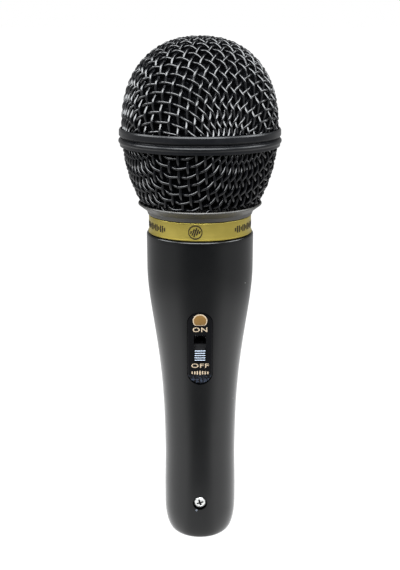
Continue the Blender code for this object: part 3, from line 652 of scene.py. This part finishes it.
def along_curve(points, pieces):
    """Catmull-Rom samples through points, pieces per span, and the span position of each sample."""
    padded = np.vstack([2 * points[0] - points[1], points, 2 * points[-1] - points[-2]])
    samples, places = [], []
    for k in range(len(points) - 1):
        a, b, c, d = padded[k:k + 4]
        for step in range(pieces):
            t = step / pieces
            samples.append(0.5 * (2 * b + (c - a) * t + (2 * a - 5 * b + 4 * c - d) * t ** 2
                                  + (3 * b - a - 3 * c + d) * t ** 3))
            places.append(k + t)
    samples.append(points[-1])
    places.append(len(points) - 1.0)
    return np.array(samples), np.array(places)


def tube(vertices, faces, path, normals, radius, sides):
    """Adds a capped tube along a path to lists of vertices and faces."""
    along = np.gradient(path, axis=0)
    along /= np.linalg.norm(along, axis=1, keepdims=True)
    across = np.cross(along, normals)
    across /= np.linalg.norm(across, axis=1, keepdims=True)
    up = np.cross(across, along)
    turns = np.arange(sides) * math.tau / sides
    rings = (path[:, None] + radius * (np.cos(turns)[None, :, None] * across[:, None]
                                       + np.sin(turns)[None, :, None] * up[:, None]))
    start = len(vertices)
    vertices.extend(rings.reshape(-1, 3).tolist())
    for k in range(len(path) - 1):
        low, high = start + k * sides, start + (k + 1) * sides
        for s in range(sides):
            after = (s + 1) % sides
            faces.append((low + s, low + after, high + after, high + s))
    faces.append(tuple(range(start + sides - 1, start - 1, -1)))
    last = start + (len(path) - 1) * sides
    faces.append(tuple(range(last, last + sides)))


def runs_within(keep):
    """(start, end) of each stretch of True that is long enough for a wire."""
    edges = np.flatnonzero(np.diff(np.concatenate([[0], keep.astype(int), [0]])))
    return [(a, b) for a, b in zip(edges[::2], edges[1::2]) if b - a > 3]


def woven(name, look, surface, spacing, count, turn, to_world, low, high, replaced):
    """Two families of wires on a net, each over and under the other, kept between two heights."""
    nodes = whole_net(surface, spacing, count)
    cosine, sine = math.cos(turn), math.sin(turn)
    spin = np.array([[cosine, -sine, 0], [sine, cosine, 0], [0, 0, 1]])
    vertices, faces = [], []
    for family in (0, 1):
        for index in range(2 * count + 1):
            line = nodes[index] if family == 0 else nodes[:, index]
            path, places = along_curve(line, WIRE_STEPS)
            normals = surface.normal(path)
            swing = np.cos(math.pi * (places + index)) * (1 if family == 0 else -1)
            path = path + normals * (WIRE_WAVE * swing)[:, None]
            world = to_world(path @ spin.T)
            keep = (world[:, 2] >= low) & (world[:, 2] <= high)
            world_normals = to_world(path @ spin.T + normals @ spin.T) - world
            for start, end in runs_within(keep):
                tube(vertices, faces, world[start:end], world_normals[start:end], WIRE_RADIUS, WIRE_SIDES)
    mesh = bpy.data.meshes.new(name)
    mesh.from_pydata(vertices, [], faces)
    builder = bmesh.new()
    builder.from_mesh(mesh)
    finish_mesh(builder, name, look, "grille_head", replaced, 60)


def grille_weaves():
    """Both halves of the grille. Their wires end inside the band and the collar."""
    dome_low, bowl_low, bowl_high = BAND_SEAM + 0.0024, COLLAR_TOP - 0.0007, BAND_SEAM - 0.0017
    dome = RoundSurface(DOME_RADIUS - MIDDLE_INSET, DOME_HEIGHT - MIDDLE_INSET, DOME_POWER)
    woven("grille_dome_weave", "dome_wire", dome, WIRE_PITCH, 15, DOME_NET_TURN,
          lambda points: points + (0, 0, DOME_CENTRE), dome_low, math.inf, ("grille_dome_mesh",))
    bowl = RoundSurface(BOWL_RADIUS - MIDDLE_INSET, BOWL_HEIGHT - MIDDLE_INSET, BOWL_POWER)
    woven("grille_bowl_weave", "bowl_wire", bowl, WIRE_PITCH, 16, BOWL_NET_TURN,
          lambda points: points * (1, 1, -1) + (0, 0, BOWL_CENTRE), bowl_low, bowl_high,
          ("grille_bowl_mesh",))


# ---- foam
def foam_surface(name, line, replaced):
    """A pitted foam skin turned from its outer line. Where the line ends at the pole, so does its inside."""
    drop = FOAM_SKIN if line[-1][0] < 1e-7 else 0.0
    inner = [(max(r - FOAM_SKIN, 0.0), h - drop * (1 - r / line[0][0])) for r, h in line]
    builder = spun(line + inner[::-1], 120)
    rng = np.random.default_rng(7)
    shifts = rng.normal(0, FOAM_PITTING, len(builder.verts))
    for vertex, shift in zip(builder.verts, shifts):
        inward = Vector((vertex.co.x, vertex.co.y, 0))
        if inward.length > 1e-6:
            vertex.co -= inward.normalized() * abs(shift)
    made = finish_mesh(builder, name, "foam", "foam_carrier", replaced, 80)


def foam_liners():
    """The dome's lining and the bowl's, which meet at the band's seam."""
    steps = 40
    radius, top = DOME_RADIUS - FOAM_INSET, DOME_HEIGHT - FOAM_INSET
    dome = [(radius, BAND_SEAM + GAP / 2)]
    for i in range(steps + 1):
        angle = math.pi / 2 * i / steps
        dome.append((radius * math.cos(angle) ** (2 / DOME_POWER),
                     DOME_CENTRE + top * math.sin(angle) ** (2 / DOME_POWER)))
    dome[-1] = (0.0, dome[-1][1])
    foam_surface("foam_upper", dome, ("foam_liner_upper",))
    low, high = NECK_TOP + GAP, BAND_SEAM - GAP / 2
    heights = [low + (high - low) * i / steps for i in range(steps + 1)]
    bowl = [(bowl_radius(height, FOAM_INSET), height) for height in heights]
    foam_surface("foam_lower", bowl, ("foam_liner_lower",))


# ---- band, collar and trim
def bands():
    """The two rings round the waist, which meet in a fine seam. Each holds its mesh's edge behind a lip."""
    lip, ledge = DOME_RADIUS + MESH_LIP, DOME_RADIUS - 0.0015
    low, seam = BAND_SEAM + SEAM / 2, BAND_SEAM - SEAM / 2
    edge = BAND_UPPER_RADIUS
    upper = [(ledge, low), (edge - 0.00050, low), (edge - 0.00030, low + 0.00035), (edge, low + 0.00070),
             (edge - 0.00003, BAND_TOP - 0.00056), (edge - 0.00030, BAND_TOP - 0.00004), (lip, BAND_TOP),
             (lip, low + 0.0018), (ledge, low + 0.0018)]
    turned("band_upper", rounded(upper, BAND_EASE, 4), "band", "grille_head",
           ("band_upper_ring",), BAND_SIDES)
    bead = BAND_LOWER_RADIUS
    bulge = arc((bead - 0.00090, seam - 0.00100), (0.00090, 0.00085), 72, -60, 14)
    lower = [(ledge, seam - 0.0011), (lip, seam - 0.0011), (lip, BAND_BOTTOM), (lip + 0.00030, BAND_BOTTOM),
             *bulge[::-1], (bead - 0.00045, seam - 0.00010), (bead - 0.00055, seam), (ledge, seam)]
    turned("band_lower", rounded(lower, BAND_EASE), "band", "grille_head",
           ("band_lower_ring",), BAND_SIDES)


def collar():
    """The flared ring under the grille: its thread below, and the groove that holds the lower mesh."""
    groove_floor = COLLAR_TOP - 0.0010
    lip = bowl_radius(COLLAR_TOP) + GAP + LIP_WALL
    thread = NECK_RADIUS + GAP
    outside = [(thread + 0.0003, COLLAR_BOTTOM), (COLLAR_RADIUS, COLLAR_BOTTOM),
               (COLLAR_RADIUS + 0.00035, COLLAR_BOTTOM + 0.0012), (lip, COLLAR_TOP - 0.00042),
               (lip - 0.00022, COLLAR_TOP), (lip - 0.00034, COLLAR_TOP)]
    inside = [(bowl_radius(groove_floor) + GAP, groove_floor), (thread + 0.0007, groove_floor),
              (thread + 0.0007, COLLAR_TOP + 0.0006), (thread, COLLAR_TOP + 0.0006)]
    turned("collar", rounded(outside + inside, 0.00018, 4), "collar", "grille_head",
           ("grille_collar",), RING_SIDES)


def trim_ring():
    """The gold ring, with a bead round its lower edge."""
    bead = TRIM_RADIUS + 0.00026
    section = [(NECK_RADIUS + GAP, TRIM_BOTTOM), (bead, TRIM_BOTTOM), (bead, TRIM_BOTTOM + 0.00026),
               (TRIM_RADIUS, TRIM_BOTTOM + 0.00036), (TRIM_RADIUS, TRIM_TOP - 0.00008),
               (TRIM_RADIUS - 0.00008, TRIM_TOP), (NECK_RADIUS + GAP, TRIM_TOP)]
    turned("trim_ring", rounded(section, 0.00006, 2), "gold", "handle",
           ("gold_trim_ring",), RING_SIDES)


def neck():
    """The sleeve in the handle's top, with the screw thread that the grille's collar goes on."""
    bore = NECK_RADIUS - NECK_WALL
    thread_start = TRIM_TOP - 0.0006
    heights = np.arange(thread_start, NECK_TOP - LEAD_IN, THREAD_PITCH / 8)
    thread = [(NECK_RADIUS, float(height)) for height in heights]
    section = [(bore, NECK_BOTTOM), (NECK_RADIUS, NECK_BOTTOM), *thread, (NECK_RADIUS - LEAD_IN, NECK_TOP),
               (bore, NECK_TOP)]
    builder = spun(section)
    for vertex in builder.verts:
        outer = math.hypot(vertex.co.x, vertex.co.y) > NECK_RADIUS - 0.00001
        if outer and vertex.co.z > thread_start:
            turns = vertex.co.z / THREAD_PITCH - math.atan2(vertex.co.y, vertex.co.x) / math.tau
            fade = smooth_step((vertex.co.z - thread_start) / THREAD_PITCH)
            shrink = 1 - fade * THREAD_CUT * (0.5 + 0.5 * math.cos(math.tau * turns)) / NECK_RADIUS
            vertex.co.x *= shrink
            vertex.co.y *= shrink
    finish_mesh(builder, "neck_thread", "black", "handle", ("neck_sleeve",), 60)


# ---- handle
def switch_place():
    """Matrix of the switch plate's face: its -Y points out of the handle and its Z up the plate."""
    axis = Vector(next(joint for joint in frame["joints"] if joint["name"] == "switch_slide")["axis"])
    tilt = Matrix.Rotation(math.atan2(-axis.y, axis.z), 4, "X")
    low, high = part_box("switch_plate")
    return Matrix.Translation((low + high) / 2) @ tilt @ Matrix.Translation((0, -PLATE_THICKNESS / 2, 0))


def screw_place():
    """Matrix whose +Z points out of the handle's front at the screw."""
    return Matrix.Translation((0, 0, SCREW_HEIGHT)) @ Matrix.Rotation(math.radians(90), 4, "X")


def handle():
    """The handle's skin with its switch pocket, its screw's counterbore and its cable socket."""
    foot = [END_ROUND_HEIGHT * (1 - math.cos(math.radians(90 * i / 16))) for i in range(17)]
    rise = np.linspace(END_ROUND_HEIGHT, HANDLE_TOP - 0.0006, 84)[1:]
    outside = [(handle_radius(height), float(height)) for height in [*foot, *rise]]
    top_edge = arc((SHOULDER_RADIUS - 0.0006, HANDLE_TOP - 0.0006), (0.0006, 0.0006), 15, 90, 5)
    seat = NECK_RADIUS + GAP
    inner_heights = np.linspace(NECK_BOTTOM - 0.003, 0.029, 16)
    inside = [(min(handle_radius(height) - WALL, seat - 0.0006), float(height)) for height in inner_heights]
    floor = INSERT_BACK + GAP
    lip = SOCKET_RADIUS - 0.0009
    socket = [(lip, floor + 0.0014), (lip, floor), (SOCKET_RADIUS, floor), (SOCKET_RADIUS, 0.0006)]
    mouth = arc((SOCKET_RADIUS + 0.0004, 0.0006), (0.0004, 0.0006), 180, 270, 4)[1:]
    section = outside + top_edge + [(seat, HANDLE_TOP), (seat, NECK_BOTTOM - GAP)] + inside + socket + mouth
    made = turned("handle_skin", section, "handle", "handle", ("handle_shell",))
    place = switch_place()
    pocket = slab(stadium(PLATE_WIDTH + POCKET_ROOM, PLATE_LENGTH + POCKET_ROOM),
                  CUTTER_REACH + PLATE_THICKNESS + GAP)
    moved(pocket, place @ Matrix.Translation((0, -CUTTER_REACH, 0)))
    window = slab(rectangle(WINDOW_WIDTH, WINDOW_LENGTH), WINDOW_DEPTH)
    moved(window, place @ Matrix.Translation((0, 0.0006, 0)))
    depth = handle_radius(SCREW_HEIGHT)
    bore = spun([(0, depth - COUNTERBORE_DEPTH), (COUNTERBORE_RADIUS, depth - COUNTERBORE_DEPTH),
                 (COUNTERBORE_RADIUS, depth + 0.002), (0, depth + 0.002)], SCREW_SIDES)
    shank = spun([(0, SOCKET_RADIUS - 0.002), (SHANK_HOLE_RADIUS, SOCKET_RADIUS - 0.002),
                  (SHANK_HOLE_RADIUS, depth), (0, depth)], 32)
    notch = add_box(bmesh.new(), KEY_NOTCH, (0, SOCKET_RADIUS, KEY_HEIGHT))
    cut_with(made, pocket, window, moved(bore, screw_place()), moved(shank, screw_place()), notch)
    made.data.shade_smooth()
    made.data.set_sharp_from_angle(angle=math.radians(32))


# ---- switch
def placed(builder, name, look, body="handle", replaced=(), offset=(0, 0, 0)):
    """Finishes a bmesh that was made in the frame of the switch plate's face."""
    moved(builder, switch_place() @ Matrix.Translation(offset))
    return finish_mesh(builder, name, look, body, replaced, 40)


def switch_plate():
    """The plate with its slot."""
    plate = placed(slab(stadium(PLATE_WIDTH, PLATE_LENGTH, 28), PLATE_THICKNESS, 0.00022, 3), "plate",
                   "plate", replaced=("switch_plate",))
    slot = slab(rounded(rectangle(SLOT_WIDTH, SLOT_LENGTH), 0.00025), CUTTER_REACH)
    cut_with(plate, moved(slot, switch_place() @ Matrix.Translation((0, -CUTTER_REACH / 2, 0))))
    plate.data.set_sharp_from_angle(angle=math.radians(40))


def marker_outline(radius):
    """A disc whose lowest part is cut off flat, with eased corners."""
    return rounded(arc((0, MARKER_HEIGHT), (radius, radius), -46, 226, 40), 0.0006, 4)


def switch_marker():
    """Amber spot with a paler rim."""
    placed(slab(marker_outline(MARKER_RADIUS), 0.00030, 0.00008), "marker_rim", "cream_ink",
           replaced=("gold_marker",), offset=(0, -0.00010, 0))
    placed(slab(marker_outline(MARKER_RADIUS - 0.00034), 0.00010, 0.00004), "marker_spot", "amber_ink",
           offset=(0, -0.00016, 0))


def word(name, text, width, height, centre_height):
    """A printed word, fitted to a width and height, a little proud of the plate."""
    curve = bpy.data.curves.new(name, "FONT")
    curve.body = text
    curve.align_x, curve.align_y = "CENTER", "CENTER"
    curve.offset = 0.012
    curve.extrude = 0.02
    curve.space_character = 1.12
    carrier = add_object(name + "_curve", curve)
    bpy.context.view_layer.update()
    mesh = bpy.data.meshes.new_from_object(carrier.evaluated_get(bpy.context.evaluated_depsgraph_get()))
    bpy.data.objects.remove(carrier)
    builder = bmesh.new()
    builder.from_mesh(mesh)
    bmesh.ops.remove_doubles(builder, verts=builder.verts, dist=1e-5)
    low = Vector([min(v.co[i] for v in builder.verts) for i in range(3)])
    high = Vector([max(v.co[i] for v in builder.verts) for i in range(3)])
    middle, size = (low + high) / 2, high - low
    for vertex in builder.verts:
        at = vertex.co - middle
        vertex.co = Vector((at.x * width / size.x, (-at.z / size.z - 0.5) * WORD_PROUD + 0.00001,
                            at.y * height / size.y + centre_height))
    placed(builder, name, "cream_ink")


def level_bars():
    """A row of small printed bars, tallest in the middle, at the foot of the plate."""
    builder = bmesh.new()
    for shift in range(-(BARS // 2), BARS // 2 + 1):
        tall = 0.0014 - 0.00018 * abs(shift)
        add_box(builder, (BAR_WIDTH, WORD_PROUD, tall), (shift * BAR_PITCH, -0.00002, BARS_HEIGHT))
    placed(builder, "level_bars", "cream_ink")


def eased_box(size, centre, ease):
    """A bmesh box with rounded edges."""
    builder = add_box(bmesh.new(), size, centre)
    bmesh.ops.bevel(builder, geom=builder.edges[:], offset=ease, segments=2, affect="EDGES",
                    clamp_overlap=True)
    return builder


def switch_knob():
    """Finger knob: pale ribs across a black core, which is painted shade in the grooves between the ribs, on
    the shoe that keeps it behind the plate.
    """
    rib = KNOB_LENGTH / (2 * KNOB_RIBS - 1)
    floor = -KNOB_PROUD + 0.00024
    back = PLATE_THICKNESS + GAP
    # Painted shade: the core between the pale ribs is black so that the grooves read dark.
    groove_shade_core = eased_box((KNOB_WIDTH - 0.0001, back - floor + 0.0002, KNOB_LENGTH - 0.0001),
                     (0, (back + floor) / 2 + 0.0001, KNOB_REST), 0.00008)
    placed(groove_shade_core, "knob_groove_shade_core", "black", "switch_slider", ("switch_knob",))
    for number in range(KNOB_RIBS):
        height = KNOB_REST - KNOB_LENGTH / 2 + (2 * number + 0.5) * rib
        ridge = eased_box((KNOB_WIDTH, floor + KNOB_PROUD + 0.0004, 0.45 * rib),
                          (0, (floor - KNOB_PROUD) / 2 + 0.0002, height), 0.00009)
        placed(ridge, f"knob_rib_{number + 1}", "knob", "switch_slider")
    shoe = eased_box(SHOE_SIZE, (0, back + SHOE_SIZE[1] / 2, KNOB_REST), 0.00015)
    placed(shoe, "knob_shoe", "black", "switch_slider")


# ---- screw
def socket_screw():
    """Pan-head screw with a cross recess, in its counterbore."""
    depth = handle_radius(SCREW_HEIGHT)
    seat = depth - COUNTERBORE_DEPTH + GAP
    shank_end = SOCKET_RADIUS - 0.0040
    top = seat + SCREW_HEAD_HEIGHT
    dome = arc((0, seat + 0.0004), (SCREW_HEAD_RADIUS, 0.0009), 0, 84, 10)
    section = [(0, shank_end), (0.0008, shank_end), (0.0012, shank_end + 0.0006), (0.0012, seat),
               (SCREW_HEAD_RADIUS - 0.0001, seat), (SCREW_HEAD_RADIUS, seat + 0.0001), *dome, (0, top)]
    made = turned("socket_screw", section, "screw", "handle", ("connector_screw",),
                  SCREW_SIDES, screw_place())
    arm = [(x * CROSS_HALF * shrink, y * CROSS_WIDE * shrink, top + level)
           for level, shrink in ((0.0006, 1.15), (-CROSS_DEEP, 0.45)) for x, y in SQUARE]
    for degrees in (CROSS_TURN, CROSS_TURN + 90):
        turn = Matrix.Rotation(math.radians(degrees), 4, "Z")
        cut_with(made, moved(add_block(bmesh.new(), arm), screw_place() @ turn))
    made.data.set_sharp_from_angle(angle=math.radians(30))


# ---- printing on the gold ring
def ring_print():
    """Generic marks on the gold ring: a round sound-level sign in front and rows of short bars beside it."""
    radius = TRIM_RADIUS + 0.00002
    middle = (TRIM_BOTTOM + TRIM_TOP) / 2
    builder = bmesh.new()

    def patch(angle, height, wide, tall, lean=0.0):
        """A thin curved bar on the ring, centred at an angle from the front."""
        corners = []
        for out in (radius, radius + PRINT_PROUD):
            for x, z in SQUARE:
                turn = angle + (x * wide / 2 + z * tall / 2 * math.tan(lean)) / radius
                corners.append((out * math.sin(turn), -out * math.cos(turn), height + z * tall / 2))
        add_block(builder, corners)

    for step in range(BADGE_STEPS):
        turn = math.tau * (step + 0.5) / BADGE_STEPS
        across, up = BADGE_RADIUS * math.cos(turn), BADGE_RADIUS * math.sin(turn)
        patch(BADGE_TURN + across / radius, middle + up, 0.00028, 0.00040)
    for number, tall in enumerate((0.0009, 0.0019, 0.0028, 0.0019, 0.0009)):
        patch(BADGE_TURN + (number - 2) * 0.00066 / radius, middle, 0.00046, tall, math.radians(18))
    for side in (-1, 1):
        for number in range(14):
            tall = 0.0021 if number % 3 else 0.0011
            patch(side * (math.radians(42) + number * 0.00090 / radius), middle, 0.00054, tall)
    finish_mesh(builder, "ring_marks", "dark_ink", "handle")


# ---- inner pieces
CAD_LOOKS = {
    "black": ("connector_insert", "capsule_frame", "capsule_front_cap", "capsule_rear_can",
              "lead_switch_to_pin_1"),
    "board": ("terminal_board",),
    "contact": ("connector_pin_1", "connector_pin_2", "connector_pin_3"),
    "copper": ("terminal_tag_left", "terminal_tag_right", "voice_coil"),
    "film": ("diaphragm",),
    "foam": ("front_felt",),
    "green": ("lead_switch_to_pin_2",),
    "magnet": ("magnet_disc",),
    # The copper contact clip wears the black oxide look as painted shade, so the switch window behind the
    # slot reads dark.
    "oxide_and_shade": ("switch_terminal_1", "switch_terminal_2", "switch_terminal_3", "contact_clip"),
    "red": ("lead_capsule_to_switch",),
    "rubber": ("shock_mount",),
    "steel": ("magnet_yoke", "pole_cap", "switch_housing"),
    "white": ("lead_capsule_to_pin_3",),
}


def dress(node, material):
    """Gives a CAD node its material, and joins its facets into smooth surfaces with eased edges."""
    node.data.materials.clear()
    node.data.materials.append(material)
    for polygon in node.data.polygons:
        polygon.use_smooth = True
    weld = node.modifiers.new("weld", "WELD")
    weld.merge_threshold = 0.000001
    ease = node.modifiers.new("ease", "BEVEL")
    ease.width = 0.00006
    ease.segments = 2
    ease.limit_method = "ANGLE"
    ease.angle_limit = math.radians(30)
    ease.harden_normals = True


def dress_cad_nodes():
    for look, names in CAD_LOOKS.items():
        for name in names:
            dress(frame["nodes"][name], LOOKS[look])


# ---- stage, light and camera
def add_camera():
    data = bpy.data.cameras.new("camera")
    data.sensor_width = CAMERA_SENSOR
    data.lens = CAMERA_LENS
    camera = add_object("camera", data)
    camera.location = CAMERA_PLACE
    camera.rotation_euler = (math.radians(CAMERA_TILT), 0, 0)
    bpy.context.scene.camera = camera


def white_or_lighting(tree, lighting):
    """Strength 1 where the camera sees it, and the lighting socket's in light and reflections."""
    seen = new_node(tree, "ShaderNodeLightPath").outputs["Is Camera Ray"]
    choice = new_node(tree, "ShaderNodeMix", {0: seen, 2: lighting})
    choice.inputs[3].default_value = 1.0
    return choice.outputs[0]


def smooth_range(tree, source, low, high, to_low, to_high):
    return remapped(tree, source, low, high, to_low, to_high, interpolation_type="SMOOTHSTEP")


def add_floor():
    """White paper: plain white to the camera, and it lights the microphone from a pool round its foot."""
    look = Look("pale_floor", (0.06, 0.06, 0.06), 0.7)
    look.gloss(look.noise(0.02, 3), 0.6, 0.8)
    look.shader.inputs["Emission Color"].default_value = (1, 1, 1, 1)
    away = look.node("ShaderNodeVectorMath", {0: look.place}, operation="LENGTH").outputs["Value"]
    way = look.node("ShaderNodeVectorMath", {0: look.place}, operation="NORMALIZE").outputs[0]
    side = look.node("ShaderNodeSeparateXYZ", {0: way}).outputs["Y"]
    gap = smooth_range(look.tree, side, FRONT_FROM, FLOOR_TO, FRONT_SHARE, 1.0)
    reach = smooth_range(look.tree, away, FOOT_OUTER, POOL_INNER, FRONT_TO, FLOOR_TO)
    look.tree.links.new(reach, gap.node.inputs["From Max"])
    share = smooth_range(look.tree, away, FOOT_INNER, FOOT_OUTER, FOOT_SHARE, FRONT_SHARE)
    look.tree.links.new(share, gap.node.inputs["To Min"])
    pool = look.times(gap, smooth_range(look.tree, away, POOL_INNER, POOL_OUTER, POOL_LIGHT, FLOOR_LIGHT))
    look.set("Emission Strength", white_or_lighting(look.tree, pool))
    bpy.ops.mesh.primitive_plane_add(size=40.0, location=(0, 0, 0))
    floor = bpy.context.object
    floor.name = "pale_floor"
    floor.data.materials.append(look.material)


def add_light(name, place, target, size, power, colour):
    data = bpy.data.lights.new(name, "AREA")
    data.shape = "RECTANGLE"
    data.size, data.size_y = size
    data.energy = power
    data.color = colour
    lamp = add_object(name, data)
    lamp.location = place
    lamp.rotation_euler = (Vector(target) - Vector(place)).to_track_quat("-Z", "Y").to_euler()


def add_world():
    """Pale studio walls all round at the microphone's height, with a dark gap in front and a dim ceiling."""
    world = bpy.data.worlds.new("studio")
    world.use_nodes = True
    tree = world.node_tree
    tree.nodes.clear()
    around = new_node(tree, "ShaderNodeTexCoord").outputs["Generated"]
    way = new_node(tree, "ShaderNodeSeparateXYZ", {0: around})
    wall = smooth_range(tree, way.outputs["Z"], 0.10, 0.55, WALL_LIGHT, CEILING_LIGHT)
    open_front = smooth_range(tree, way.outputs["Y"], FRONT_FROM, FRONT_TO, FRONT_SHARE, 1.0)
    strength = white_or_lighting(tree, product(tree, wall, open_front))
    background = new_node(tree, "ShaderNodeBackground", {"Strength": strength}, Color=(1, 1, 1, 1))
    new_node(tree, "ShaderNodeOutputWorld", {"Surface": background.outputs[0]})
    bpy.context.scene.world = world


def add_lights():
    add_world()
    bpy.context.scene.view_settings.view_transform = "Standard"
    head, cool = (0, 0, 0.12), (0.95, 0.98, 1.0)
    add_light("key_above", (-0.02, -0.40, 0.50), head, (0.80, 0.36), 15.0, cool)
    for side in (-1, 1):
        add_light(f"side_above_{side}", (side * 0.52, -0.06, 0.46), head, (0.40, 0.30), 4.5, cool)


def build():
    add_camera()
    grille_weaves()
    foam_liners()
    bands()
    collar()
    trim_ring()
    neck()
    ring_print()
    handle()
    switch_plate()
    switch_marker()
    for entry in WORDS:
        word(*entry)
    level_bars()
    switch_knob()
    socket_screw()
    dress_cad_nodes()
    add_floor()
    add_lights()


build()
